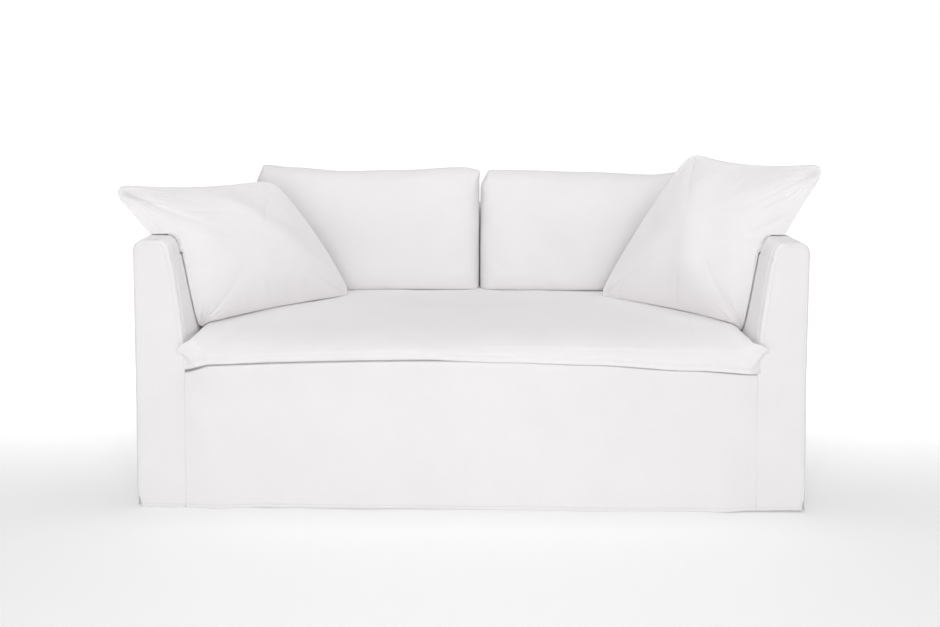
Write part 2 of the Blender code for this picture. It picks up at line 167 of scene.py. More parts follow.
SEAT_LIP_HEIGHTS = (
    # (x, height of the front seam)
    (-0.79, 0.385), (-0.69, 0.408), (-0.46, 0.419), (-0.23, 0.427), (0.09, 0.417), (0.31, 0.411),
    (0.58, 0.396), (0.79, 0.384),
)
BACK_SIDES = {
    # name: (left side, right side), each as rows of (height from 0 to 1, x)
    "back_cushion_left": (
        ((0, -0.748), (0.5, -0.764), (0.85, -0.738), (1, -0.722)),
        ((0, 0.0265), (0.9, 0.0265), (1, 0.03)),
    ),
    "back_cushion_right": (
        ((0, 0.0285), (0.85, 0.03), (1, 0.052)),
        ((0, 0.755), (0.5, 0.772), (0.85, 0.76), (1, 0.742)),
    ),
}
BACK_TOPS = (
    # (x, height of the top seam)
    (-0.72, 0.89), (-0.62, 0.88), (-0.44, 0.868), (-0.25, 0.872), (-0.03, 0.883), (0.03, 0.876),
    (0.14, 0.874), (0.4, 0.868), (0.62, 0.86), (0.74, 0.872),
)
BACK_CUSHION_THICK = 0.185
BACK_CUSHION_FRONT = 0.575
BACK_CUSHION_LEAN = 0.07
BACK_CUSHION_CORNER = 0.012
BACK_CUSHION_GAP = 0.002
BACK_CUSHION_PRESS = 0.016
PILLOWS = {
    # corners: lower left, lower right, upper left, upper right. bends: bottom, top, left and right side
    "throw_pillow_left": {
        "corners": ((-0.795, 0.15, 0.459), (-0.39, 0.53, 0.473), (-1.042, 0.1, 0.892), (-0.642, 0.5, 0.862)),
        "bends": ((0, 0, 0.004), (0, 0, -0.02), (0.066, -0.03, -0.004), (0.014, 0, 0.01)),
        "top_skew": 1,
        "thick": 0.15,
        "blunt": 0.19,
        "ears": (
            # (u and v of the corner, creases in a turn, how far they reach, depth)
            (-1, 1, 46, 0.75, 0.0016), (1, 1, 26, 0.35, 0.0006),
            (-1, -1, 30, 0.35, 0.0012), (1, -1, 26, 0.35, 0.0008),
        ),
        "folds": (
            # (u, v, u, v, width, depth) on the front face
            (-0.55, 0.62, 0.15, 0.52, 0.03, -0.002), (-0.5, 0.45, 0.05, 0.3, 0.045, 0.0022),
            (0.05, 0.9, 0.75, -0.65, 0.2, 0.013), (-0.2, -0.85, -0.1, -0.45, 0.04, 0.0015),
            (0.15, -0.88, 0.25, -0.5, 0.035, -0.0014),
        ),
    },
    "throw_pillow_right": {
        "corners": ((0.414, 0.54, 0.469), (0.797, 0.16, 0.449), (0.708, 0.5, 0.966), (1.032, 0.162, 0.95)),
        "bends": ((0, 0, 0.022), (0, 0, -0.032), (-0.012, 0, 0.004), (-0.046, -0.04, 0.004)),
        "top_skew": 0.6,
        "thick": 0.155,
        "blunt": 0.15,
        "ears": (
            (1, 1, 38, 0.6, 0.0016), (-1, 1, 28, 0.35, 0.0012),
            (-1, -1, 30, 0.35, 0.0012), (1, -1, 30, 0.4, 0.0012),
        ),
        "folds": (
            (-0.6, 0.85, 0.35, -0.7, 0.2, 0.011), (0.6, 0.45, 0.88, 0.72, 0.04, -0.006),
            (0.66, 0.1, 0.9, 0.36, 0.035, -0.0045), (0.1, -0.88, 0.05, -0.5, 0.035, -0.0016),
            (-0.45, -0.8, -0.25, -0.4, 0.04, 0.0014),
        ),
    },
}
PILLOW_REST_GAP = 0.0012
PILLOW_CLEAR = 0.003
PILLOW_NUDGE = 0.0003
ARM_CORE_X = 0.95
ARM_CORE_Z = 0.58

# Stitched edges: how far the two rows of stitches lie from the edge, and how the seam allowance stands out.
STITCH_ROWS = (0.004, 0.0115)
SEAM_RAISE = 0.0008
SEAM_FADE = 0.003
HEM_FADE = 0.0025
STITCH_SINK = 0.0009
STITCH_WIDTH = 0.0012
HEM_STITCH = 0.0095
EDGE_STEPS = (0, 0.0012, 0.0026, 0.004, 0.0054, 0.0072, 0.009, 0.0103, 0.0115, 0.0128, 0.0145, 0.019)
STITCH_PITCH = 0.0042
STITCH_LENGTH = 0.0031
STITCH_THICK = 0.00045
HEM_STITCH_FROM_CORNER = 0.018
HEM_STEPS = 240

# Lower edge of the front: how far the hem hangs off the floor.
HEM_LIFT = (
    # (x, height)
    (-0.63, 0), (-0.57, 0.0025), (-0.52, 0.001), (-0.3, 0.002), (0.1, 0), (0.66, 0),
    (0.76, 0.004), (0.925, 0.006),
)

# Ripples of the hanging cloth, of the front and of the sides and back.
FRONT_LAYERS = (
    # (depth, height it fades at, squeeze upward, size, seed)
    (0.0016, 0.3, 0.3, 0.055, 3),
    (0.0012, None, 1, 0.16, 5),
    (0.0004, None, 0.5, 0.03, 9),
)
SIDE_LAYERS = (
    (0.0014, 0.35, 0.3, 0.06, 0),
    (0.0012, None, 1, 0.18, 2),
    (0.0004, None, 1, 0.035, 4),
)

# Distances from the seams within which the ripples die out.
SEAM_CALM = 0.02
ARM_CALM = 0.03
ARM_CALM_FROM = 0.014

# How far creases reach along their line, from 0 to 1 between its ends, and how long they fade there.
CREASE_REACH = (-0.2, 1.2)
CREASE_FADES = (0.4, 0.5)

# Soft creases of the front: each runs between two points of the front's plane.
FRONT_CREASES = (
    # (x, z, x, z, width, depth)
    (-0.8, 0.352, -0.708, 0.139, 0.02, 0.003), (-0.76, 0.34, -0.69, 0.2, 0.012, -0.0012),
    (-0.803, 0.386, -0.888, 0.374, 0.0035, 0.0012), (-0.803, 0.378, -0.88, 0.356, 0.004, 0.0012),
    (-0.806, 0.37, -0.862, 0.338, 0.0045, 0.001), (0.803, 0.384, 0.88, 0.366, 0.004, 0.001),
    (0.8, 0.372, 0.85, 0.33, 0.005, 0.001), (0.795, 0.35, 0.72, 0.16, 0.022, 0.0022),
    (0.48, 0.395, 0.52, 0.27, 0.016, 0.0012), (0.12, 0.4, 0.09, 0.3, 0.018, 0.001),
    (-0.42, 0.4, -0.47, 0.25, 0.02, 0.0012),
)

# Soft creases of the back cushions, in the same form.
BACK_CREASES = (
    (-0.62, 0.872, -0.3, 0.862, 0.01, -0.001), (-0.3, 0.862, -0.02, 0.875, 0.01, -0.001),
    (0.04, 0.868, 0.3, 0.862, 0.01, -0.001), (0.3, 0.862, 0.6, 0.85, 0.01, -0.001),
    (0, 0.62, -0.06, 0.56, 0.018, -0.0022), (-0.02, 0.53, -0.1, 0.545, 0.016, 0.0016),
    (0.06, 0.6, 0.12, 0.54, 0.016, -0.0014), (0.18, 0.545, 0.1, 0.52, 0.014, 0.0016),
    (-0.24, 0.7, -0.32, 0.65, 0.014, -0.0008), (0.16, 0.78, 0.3, 0.765, 0.014, -0.0008),
    (-0.18, 0.84, -0.05, 0.78, 0.02, -0.001),
)

# Soft creases of the seat cushion, between two points (x, y) of its top.
SEAT_CREASES = (
    (0.505, -0.455, 0.48, -0.395, 0.007, -0.0016), (0.53, -0.455, 0.5, -0.4, 0.006, 0.0012),
    (0.56, -0.44, 0.64, -0.3, 0.012, -0.0012), (-0.71, -0.44, -0.64, -0.34, 0.014, -0.0018),
    (-0.56, -0.2, -0.3, -0.15, 0.022, -0.0012), (0.4, -0.18, 0.66, -0.26, 0.022, -0.0014),
    (-0.1, -0.455, -0.115, -0.38, 0.01, -0.0008), (0.22, -0.455, 0.205, -0.4, 0.009, -0.0008),
)

# Heights of the rows of a panel's vertices, closest together at the hem's stitches and at the arm's top.
FINE_HEIGHTS = [0, 0.004, 0.007, 0.0083, 0.0095, 0.0107, 0.0122, 0.016, 0.022, 0.03]
FINE_HEIGHTS += [0.038 + 0.009 * i for i in range(64)]
FINE_HEIGHTS += [0.612 + 0.0075 * i for i in range(11)]


def smooth(t):
    """Ease from 0 to 1."""
    t = min(1, max(0, t))
    return t * t * (3 - 2 * t)


def bell(distance, width):
    """1 at no distance, and close to 0 from twice the width on."""
    return math.exp(-((distance / width) ** 2))


def round_drop(t):
    """How far a round edge of radius 1 has dropped at t, from 0 where it starts to 1 at its side."""
    return 1 - math.sqrt(max(0, 1 - t * t))


def mix(a, b, t):
    return a + (b - a) * t


def table_value(rows, x):
    """Smooth value at x of a short table of (x, value) rows."""
    if x <= rows[0][0]:
        return rows[0][1]
    for (x0, v0), (x1, v1) in zip(rows, rows[1:]):
        if x <= x1:
            return mix(v0, v1, smooth((x - x0) / (x1 - x0)))
    return rows[-1][1]


def spread(start, end, count):
    return [mix(start, end, i / count) for i in range(count + 1)]


def inner_steps(count):
    return spread(0, 1, count)[1:-1]


def eased(count, power=1.5):
    """Positions from -1 to 1, closer together near both ends."""
    return [math.copysign(1 - (1 - abs(t)) ** power, t) for t in spread(-1, 1, count)]


def fullness(t, power, root):
    """Cross-section of a filled cushion: 1 in the middle and 0 at its rim."""
    return max(0, 1 - abs(t) ** power) ** root


def rumple(x, y, size, seed):
    """Smooth uneven value from about -1 to 1, with features of this size."""
    return noise.noise(Vector((x / size, y / size, seed)))


def uneven(x, z, layers, seed=0):
    """Soft ripples of hanging cloth, in metres. A layer with a fade is strongest at the floor."""
    height = 0
    for depth, fade, squeeze, size, offset in layers:
        low = 1 - smooth(z / fade) if fade else 1
        height += depth * low * rumple(x, z * squeeze, size, seed + offset)
    return height


def crease(x, z, line):
    """Depth at (x, z) of a soft crease that fades out at its two ends."""
    x0, z0, x1, z1, width, depth = line
    run = Vector((x1 - x0, z1 - z0))
    at = Vector((x - x0, z - z0))
    t = at.dot(run) / run.length_squared
    start, end = CREASE_REACH
    if not start < t < end:
        return 0
    away = abs(at.x * run.y - at.y * run.x) / run.length
    ends = smooth((t - start) / CREASE_FADES[0]) * smooth((end - t) / CREASE_FADES[1])
    return depth * ends * bell(away, width)


def seam_relief(depth):
    """Height of a stitched edge this far from it: a raised allowance with two sunk rows of stitches."""
    height = SEAM_RAISE * (1 - smooth((depth - STITCH_ROWS[1]) / SEAM_FADE))
    for row in STITCH_ROWS:
        height -= STITCH_SINK * bell(depth - row, STITCH_WIDTH)
    return height


def hem_relief(z):
    height = SEAM_RAISE * (1 - smooth((z - HEM_STITCH) / HEM_FADE))
    return height - STITCH_SINK * bell(z - HEM_STITCH, STITCH_WIDTH)


# ---- Cloth materials ----


def feed(tree, socket, value):
    """Sets an input to a value, or links it to another node's output."""
    if isinstance(value, bpy.types.NodeSocket):
        tree.links.new(value, socket)
    else:
        socket.default_value = value


def set_inputs(tree, node, **inputs):
    """Feeds inputs by name. From_Min is the one that is named From Min."""
    for name, value in inputs.items():
        feed(tree, node.inputs[name.replace("_", " ")], value)


def new_node(tree, kind, **inputs):
    node = tree.nodes.new(kind)
    set_inputs(tree, node, **inputs)
    return node


def new_material(name):
    material = bpy.data.materials.new(name)
    material.use_nodes = True
    tree = material.node_tree
    return material, tree, tree.nodes["Principled BSDF"]


def scaled_noise(tree, source, scale, size, detail):
    """Noise over coordinates that are stretched by scale."""
    at = new_node(tree, "ShaderNodeMapping", Vector=source, Scale=scale).outputs["Vector"]
    return new_node(tree, "ShaderNodeTexNoise", Vector=at, Scale=size, Detail=detail).outputs["Fac"]


def mapped(tree, value, found, given, way="LINEAR"):
    """Moves a value from the found range to the given one."""
    limits = {"From_Min": found[0], "From_Max": found[1], "To_Min": given[0], "To_Max": given[1]}
    node = new_node(tree, "ShaderNodeMapRange", Value=value, **limits)
    node.interpolation_type = way
    return node.outputs["Result"]


def ramp(tree, value, dark, light, start=0, end=1):
    """Colour between dark and light as value runs from start to end."""
    node = new_node(tree, "ShaderNodeValToRGB", Fac=value)
    first, last = node.color_ramp.elements
    first.position, last.position = start, end
    first.color, last.color = dark, light
    return node.outputs["Color"]


def bump(tree, **inputs):
    return new_node(tree, "ShaderNodeBump", **inputs).outputs["Normal"]


def combined(tree, operation, *values):
    """A math node over two outputs, or over one output and a number."""
    node = tree.nodes.new("ShaderNodeMath")
    node.operation = operation
    for socket, value in zip(node.inputs, values):
        feed(tree, socket, value)
    return node.outputs[0]


def cloth_material(name, light, dark, thread, slub, crumple):
    """Plain-weave cloth. thread is the pitch of the weave in metres."""
    material, tree, shader = new_material(name)
    coords = tree.nodes.new("ShaderNodeTexCoord")
    uv, place = coords.outputs["UV"], coords.outputs["Object"]
    warp = scaled_noise(tree, uv, (YARN_ACROSS, YARN_ALONG, 1), 1, 2)
    weft = scaled_noise(tree, uv, (YARN_ALONG, YARN_ACROSS, 1), 1, 2)
    cloud = scaled_noise(tree, place, EVEN, CLOUD_SIZE, 3)
    folds = scaled_noise(tree, place, EVEN, FOLD_SIZE, 5)
    fine = scaled_noise(tree, place, EVEN, FINE_SIZE, 4)

    bands = []
    for direction in ("X", "Y"):
        wave = new_node(tree, "ShaderNodeTexWave", Vector=uv, Distortion=0.6, Detail=1)
        set_inputs(tree, wave, Scale=WAVES_BY_PITCH / thread)
        wave.wave_type = "BANDS"
        wave.bands_direction = direction
        bands.append(wave.outputs["Color"])

    streaks = combined(tree, "ADD", warp, weft)
    tone = combined(tree, "MULTIPLY", streaks, slub)
    tone = combined(tree, "ADD", tone, combined(tree, "MULTIPLY", cloud, CLOUD_SHARE))
    colour = ramp(tree, tone, dark, light, slub * 0.75, slub * 1.2 + 0.3)

    weave = combined(tree, "ADD", combined(tree, "MAXIMUM", *bands), streaks)
    threads = bump(tree, Height=weave, Strength=WEAVE_BUMP, Distance=thread * WEAVE_DEPTH_BY_PITCH)
    soft = combined(tree, "ADD", folds, combined(tree, "MULTIPLY", fine, FINE_SHARE))
    wrinkles = bump(tree, Height=soft, Strength=crumple, Distance=WRINKLE_DEPTH, Normal=threads)
    rough = mapped(tree, fine, (0, 1), CLOTH_ROUGH)
    set_inputs(tree, shader, Base_Color=colour, Normal=wrinkles, Roughness=rough)
    set_inputs(tree, shader, Specular_IOR_Level=0.25, Sheen_Weight=0.25, Sheen_Roughness=0.45)
    return material


def thread_material():
    material, tree, shader = new_material("sewing_thread")
    coords = tree.nodes.new("ShaderNodeTexCoord")
    twist = scaled_noise(tree, coords.outputs["Object"], EVEN, TWIST_SIZE, 2)
    set_inputs(tree, shader, Base_Color=ramp(tree, twist, THREAD_DARK, THREAD_LIGHT), Roughness=0.6)
    return material


def linen_material(name, crumple):
    return cloth_material(name, LINEN_LIGHT, LINEN_DARK, LINEN_PITCH, LINEN_SLUB, crumple)


LINEN = linen_material("washed_linen", 0.1)
CUSHION = linen_material("cushion_linen", 0.14)
PILLOW = linen_material("pillow_linen", 0.18)
DECK = cloth_material("deck_cloth", DECK_LIGHT, DECK_DARK, 0.0007, 0.15, 0.04)
THREAD = thread_material()


# ---- Meshes ----


def lengths(points):
    """Distance along a line of points, at each of them."""
    total = [0]
    for a, b in zip(points, points[1:]):
        total.append(total[-1] + (Vector(b) - Vector(a)).length)
    return total


def add_quads(bm, grid, flip=False):
    """Faces of a grid of vertices, with the cloth's own length and width as their texture coordinates."""
    layer = bm.loops.layers.uv.verify()
    across = lengths([vert.co for vert in grid[len(grid) // 2]])
    along = lengths([row[len(row) // 2].co for row in grid])
    for i in range(len(grid) - 1):
        for j in range(len(grid[i]) - 1):
            corners = [(i, j), (i, j + 1), (i + 1, j + 1), (i + 1, j)]
            if flip:
                corners.reverse()
            face = bm.faces.new([grid[a][b] for a, b in corners])
            for loop, (a, b) in zip(face.loops, corners):
                loop[layer].uv = (across[b], along[a])


def new_object(name, bm, material):
    mesh = bpy.data.meshes.new(name)
    bm.to_mesh(mesh)
    bm.free()
    mesh.shade_smooth()
    mesh.materials.append(material)
    obj = bpy.data.objects.new(name, mesh)
    bpy.context.scene.collection.objects.link(obj)
    return obj


def finish_panel(name, bm, inward, detail=None, material=None):
    """Turns a sheet outward, adds its small folds, and gives it the cloth's thickness."""
    bmesh.ops.recalc_face_normals(bm, faces=bm.faces)
    mean = sum((face.normal * face.calc_area() for face in bm.faces), Vector())
    if mean.dot(Vector(inward)) > 0:
        bmesh.ops.reverse_faces(bm, faces=bm.faces)
        bm.normal_update()
    if detail:
        moves = [(vert, vert.normal * detail(vert.co)) for vert in bm.verts]
        for vert, move in moves:
            vert.co += move
    obj = new_object(name + "_cloth", bm, material or LINEN)
    thicken = obj.modifiers.new("Cloth thickness", "SOLIDIFY")
    thicken.thickness = CLOTH
    thicken.offset = -1
    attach(obj, "root")
    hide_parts(name)
    return obj


def add_panel(name, rows, inward, detail=None, material=None):
    bm = bmesh.new()
    add_quads(bm, [[bm.verts.new(point) for point in row] for row in rows])
    return finish_panel(name, bm, inward, detail, material)


def add_stitches(name, lines):
    """Rows of sewn stitches. Each line is a list of (point, outward) along one row."""
    bm = bmesh.new()
    for line in lines:
        reach = lengths([point for point, _ in line])
        at, k = STITCH_PITCH / 2, 0
        while at < reach[-1]:
            while reach[k + 1] < at:
                k += 1
            step = Vector(line[k + 1][0]) - Vector(line[k][0])
            t = (at - reach[k]) / (reach[k + 1] - reach[k])
            middle = Vector(line[k][0]) + step * t
            add_stitch(bm, middle, step.normalized(), Vector(line[k][1]).normalized())
            at += STITCH_PITCH
    obj = new_object(name, bm, THREAD)
    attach(obj, "root")
    return obj


def add_stitch(bm, middle, along, out):
    """One stitch: a short rounded thread that dips into the cloth at both ends."""
    side = along.cross(out).normalized()
    rings = []
    for t in (-1, -0.6, 0, 0.6, 1):
        width = STITCH_THICK * (0.5 if abs(t) == 1 else 1)
        lift = STITCH_THICK * (0.9 - 1.6 * t * t)
        centre = middle + along * (t * STITCH_LENGTH / 2) + out * lift
        ring = []
        for turn in (0, 0.25, 0.5, 0.75):
            angle = 2 * math.pi * turn
            at = centre + side * width * math.cos(angle) + out * width * math.sin(angle)
            ring.append(bm.verts.new(at))
        rings.append(ring)
    for a, b in zip(rings, rings[1:]):
        for i in range(4):
            bm.faces.new((a[i], a[(i + 1) % 4], b[(i + 1) % 4], b[i]))
    bm.faces.new(rings[0][::-1])
    bm.faces.new(rings[-1])


# ---- Body cover ----


def inner_x(z):
    """Half distance between the arms' inner faces at height z."""
    t = max(0, min(z, ARM_LEAN_TO) - ARM_LEAN_FROM) / (ARM_LEAN_TO - ARM_LEAN_FROM)
    x = DECK_HALF + ARM_LEAN * t**1.3
    above = (z - (ARM_TOP - INNER_ROUND_Z)) / INNER_ROUND_Z
    if above > 0:
        x += INNER_ROUND_X * round_drop(above)
    return x


def arm_top_z(x):
    """Height of an arm's top at half width x, with its rounded corners."""
    inside = (inner_x(ARM_TOP) - x) / INNER_ROUND_X
    outside = (x - (HALF - OUTER_ROUND)) / OUTER_ROUND
    z = ARM_TOP
    if inside > 0:
        z -= INNER_ROUND_Z * round_drop(inside)
    if outside > 0:
        z -= OUTER_ROUND * round_drop(outside)
    return z


def deck_edge_z(x):
    return DECK_EDGE + DECK_RISE * (1 - min(1, abs(x) / DECK_HALF) ** 2)


def deck_z(x, y):
    return mix(deck_edge_z(x), DECK_EDGE - DECK_SINK, smooth((y - DECK_FRONT - LAP) / DECK_SINK_LENGTH))


def skirt_y(x, z):
    """Front face of the cover, with its flare at the floor and its soft folds."""
    z = max(z, HEM)
    across = (x + HALF) / WIDTH
    low = 1 - min(1, z / FLARE_HEIGHT)
    y = FRONT_Y - mix(FLARE_LEFT, FLARE_RIGHT, across) * low**1.5
    for x_floor, x_top, width, depth in SKIRT_FOLDS:
        middle = mix(x_floor, x_top, z / DECK_EDGE)
        fade = smooth((DECK_EDGE - z) / FOLD_FADE)
        y -= depth * fade * bell(x - middle, width)
    return y


def front_folds(x, z):
    """Small folds and unevenness of the front, in metres."""
    height = uneven(x, z, FRONT_LAYERS)
    for line in FRONT_CREASES:
        height += crease(x, z, line)
    return height


def rolled(distance, radius):
    """How far a face has turned back at this distance inside its edge."""
    if distance >= radius or radius <= 0:
        return 0
    return radius - math.sqrt(radius**2 - (radius - distance) ** 2)


def inner_roll(z):
    """Radius of the arm front's inner edge: none below the deck, where the skirt is sewn on."""
    return EDGE_ROLL * smooth((z - DECK_EDGE - 0.004) / 0.03)


def corner_rows(centre, reach_x, reach_z, steps=14):
    """A rounded corner from its side up to its top, as rows (x, z, inward x, inward z)."""
    rows = []
    for turn in spread(0, math.pi / 2, steps):
        side, rise = math.cos(turn), math.sin(turn)
        inward_x = math.copysign(side, -reach_x)
        rows.append((centre[0] + reach_x * side, centre[1] + reach_z * rise, inward_x, -rise))
    return rows


def outer_edge():
    """Outer edge of an arm's front, or of the back, from the floor to the top."""
    rows = [(HALF, z, -1, 0) for z in FINE_HEIGHTS]
    return rows + corner_rows((HALF - OUTER_ROUND, ARM_TOP - OUTER_ROUND), OUTER_ROUND, OUTER_ROUND)


def inner_edge():
    """Inner edge of an arm's front, from the floor to the top."""
    rows = [(inner_x(z), z, 1, 0) for z in FINE_HEIGHTS]
    centre = (inner_x(ARM_TOP), ARM_TOP - INNER_ROUND_Z)
    return rows + corner_rows(centre, -INNER_ROUND_X, INNER_ROUND_Z)


def hem_lift(x, z):
    """Height of the cloth that is at z when it hangs straight: the hem hangs a little off the floor."""
    return z + table_value(HEM_LIFT, x) * (1 - smooth(z / 0.1))


def dish_point(edge_row, depth, face_y, forward, roll, relief):
    """A point of a face at this distance inside its edge."""
    x, z, inward_x, inward_z = edge_row
    px, pz = x + inward_x * depth, z + inward_z * depth
    y = face_y(px, pz) - forward * rolled(depth, roll) + forward * relief * seam_relief(depth)
    return (px, y + forward * hem_relief(pz), pz)


def add_dish(name, near, far, columns, face_y, forward, roll_of, detail, lifted):
    """A face whose edge turns back round its top and sides, with a stitched edge.

    near and far are its two edges from the floor up, as rows (x, z, inward x, inward z). forward is -1
    where the face looks to -Y. roll_of(edge, z) is the radius of the turned edge there.
    """
    bm = bmesh.new()
    grid = []
    for rows in zip(near, far):
        sides = []
        for edge, row in enumerate(rows):
            roll = roll_of(edge, row[1])
            back = face_y(row[0], row[1]) - forward * (roll + (LAP if roll > 0 else 0))
            ring = [(row[0], back, row[1])]
            relief = roll / EDGE_ROLL
            ring += [dish_point(row, depth, face_y, forward, roll, relief) for depth in EDGE_STEPS]
            sides.append(ring)
        low, high = sides[0][-1], sides[1][-1]
        middle = []
        for t in inner_steps(columns):
            x, z = mix(low[0], high[0], t), mix(low[2], high[2], t)
            middle.append((x, face_y(x, z) + forward * hem_relief(z), z))
        points = sides[0] + middle + sides[1][::-1]
        grid.append([bm.verts.new((x, y, lifted(x, z))) for x, y, z in points])
    add_quads(bm, grid)

    # The top row's two sides are joined by strips, which turn the top edge back.
    top = grid[-1]
    last = len(EDGE_STEPS)
    strips = []
    for i in range(last):
        a, b = Vector(sides[0][i]), Vector(sides[1][i])
        row = [top[i]]
        for t in inner_steps(columns):
            row.append(bm.verts.new(a.lerp(b, t)))
        strips.append(row + [top[-1 - i]])
    strips.append(top[last : len(top) - last])
    add_quads(bm, strips)
    bmesh.ops.remove_doubles(bm, verts=bm.verts, dist=1e-6)

    def seam(depth):
        """One row of stitches, at this distance inside the turned edge, as (point, outward)."""
        line = []
        for edge, rows in enumerate((near, far[::-1])):
            for row in rows:
                roll = roll_of(edge, row[1])
                if roll < EDGE_ROLL:
                    continue
                turned = max(0, 1 - depth / roll)
                side = forward * math.sqrt(1 - turned * turned)
                out = Vector((-row[2] * turned, side, -row[3] * turned))
                x, y, z = dish_point(row, depth, face_y, forward, roll, 1)
                point = Vector((x, y, lifted(x, z)))
                line.append((point + out * detail(point), out))
        return line

    seams = [seam(depth) for depth in STITCH_ROWS]
    return finish_panel(name, bm, (0, -forward, 0), detail), add_stitches(name + "_stitches", seams)


def add_front_panel():
    """Wide front of the skirt. Its two sides are sewn under the arms' fronts."""
    heights = [z for z in FINE_HEIGHTS if z < DECK_EDGE - 2 * DECK_ROLL]
    half = DECK_HALF + SEAM / 2
    edge = [-LAP, 0, PANEL_SINK_WIDTH, 0.0014, 0.005, 0.01]
    xs = [-half + depth for depth in edge] + spread(PANEL_EDGE - half, half - PANEL_EDGE, 200)
    xs += [half - depth for depth in reversed(edge)]
    rows = []
    for x in xs:
        top = min(deck_edge_z(x), table_value(SEAT_LIP_HEIGHTS, x)) - PANEL_TOP_DROP - PANEL_TOP_ROLL
        inside = half - abs(x)
        sunk = (CLOTH + SEAM) * (1 - smooth(inside / PANEL_SINK_WIDTH))
        row = []
        for z in heights:
            fold = front_folds(x, z) + hem_relief(z)
            row.append((x, skirt_y(x, z) - fold + sunk, hem_lift(x, z)))
        for turn in spread(0, math.pi / 2, 8):
            y = FRONT_Y + PANEL_TOP_ROLL * (1 - math.cos(turn)) + sunk * math.cos(turn)
            row.append((x, y, top + PANEL_TOP_ROLL * math.sin(turn)))
        row.append((x, DECK_FRONT - 2 * SEAM, top + PANEL_TOP_ROLL))
        row.append((x, DECK_FRONT - SEAM, deck_edge_z(x)))
        rows.append(row)
    return add_panel("front_panel", rows, (0, 1, 0))


def add_hem_stitches():
    """The row of stitches of the hem, on the front, the sides and the back."""
    z = HEM_STITCH
    reach = HALF - HEM_STITCH_FROM_CORNER
    raised = hem_relief(z)
    front, back = [], []
    for x in spread(-reach, reach, HEM_STEPS):
        front.append(((x, skirt_y(x, z) - front_folds(x, z) - raised, hem_lift(x, z)), (0, -1, 0)))
        back.append(((x, BACK_Y + raised + back_folds(Vector((x, BACK_Y, z))), z), (0, 1, 0)))
    pieces = [add_stitches("front_hem_stitches", [front]), add_stitches("back_hem_stitches", [back])]
    for word, side in (("left", -1), ("right", 1)):
        line = []
        start, end = arm_start_y(side * HALF, z, EDGE_ROLL) + 0.004, ARM_END_Y - 0.004
        for y in spread(start, end, HEM_STEPS // 2):
            x = HALF + raised + outer_arm_folds(Vector((side * HALF, y, z)), side)
            line.append(((side * x, y, z), (side, 0, 0)))
        pieces.append(add_stitches(f"arm_outer_{word}_hem_stitches", [line]))
    return pieces


def vented(rows):
    """The edge with its foot drawn in, where the corner seam is left open at the hem."""
    return [(x - VENT_IN * smooth(1 - z / VENT_HEIGHT), z, nx, nz) for x, z, nx, nz in rows]


def add_arm_front(name, side):
    """Front of an arm. Its sides and top turn back to meet the arm's other cloth."""

    def placed(rows):
        return [(side * x, z, side * inward_x, inward_z) for x, z, inward_x, inward_z in rows]

    def roll_of(edge, z):
        return inner_roll(z) if edge == 0 else EDGE_ROLL

    def detail(co):
        away = min(HALF - abs(co.x), abs(co.x) - inner_x(co.z))
        return front_folds(co.x, co.z) * smooth(away / 0.012 if co.z > DECK_EDGE else 1)

    near = [(x + (SEAM / 2 if z < DECK_EDGE else 0), z, nx, nz) for x, z, nx, nz in inner_edge()]
    ends = placed(near), placed(vented(outer_edge()))
    return add_dish(name, *ends, 22, skirt_y, -1, roll_of, detail, hem_lift)


def arm_start_y(x, z, roll):
    return skirt_y(x, z) + roll + LAP + SEAM


def outer_arm_folds(co, side):
    edge = min(1, (SIDE_SEAM_Z - co.z) / SEAM_CALM) * min(1, (ARM_END_Y - co.y) / SEAM_CALM)
    edge *= min(1, (co.y - arm_start_y(side * HALF, co.z, EDGE_ROLL)) / SEAM_CALM)
    return uneven(co.y, co.z, SIDE_LAYERS, 11 + side) * max(0, edge) * 0.8


def add_arm_outer(name, side):
    def detail(co):
        return outer_arm_folds(co, side)

    rows = []
    for z in [z for z in FINE_HEIGHTS if z < SIDE_SEAM_Z - 0.004] + [SIDE_SEAM_Z]:
        start = arm_start_y(side * HALF, z, EDGE_ROLL)
        rise = side * (HALF + hem_relief(z))
        rows.append([(rise, mix(start, ARM_END_Y, t), z) for t in spread(0, 1, 96)])
    return add_panel(name, rows, (-side, 0, 0), detail)


def add_arm_inner(name, side):
    """Top and inside of an arm, from the seam on its outer side, over the top and down to the deck."""
    outer = [row[:2] for row in outer_edge()[len(FINE_HEIGHTS) :]]
    inner = [row[:2] for row in reversed(inner_edge()) if row[1] > DECK_EDGE + 0.03]
    across = [(mix(outer[-1][0], inner[0][0], t), ARM_TOP) for t in inner_steps(12)]
    section = [(HALF, SIDE_SEAM_Z + SEAM), (HALF, SIDE_SEAM_Z + 0.009)] + outer + across + inner
    further = spread(DECK_FRONT + 0.018, ARM_END_Y, 90)

    def detail(co):
        edge = min(1, (ARM_END_Y - co.y) / ARM_CALM)
        edge *= min(1, (co.y - FRONT_Y - ARM_CALM_FROM) / ARM_CALM)
        edge *= smooth((co.z - DECK_EDGE) / ARM_CALM)
        return (uneven(co.y, co.z + abs(co.x), SIDE_LAYERS, 21 + side) * 1.2) * max(0, edge)

    rows = []
    for x, z in section:
        start = arm_start_y(side * x, z, inner_roll(z))
        rows.append([(side * x, y, z) for y in [start] + further])
    foot = [DECK_FRONT + SEAM] + further
    rows.append([(side * DECK_HALF, y, deck_z(DECK_HALF, y) + 2 * SEAM) for y in foot])
    return add_panel(name, rows, (side, 0, -0.3), detail)


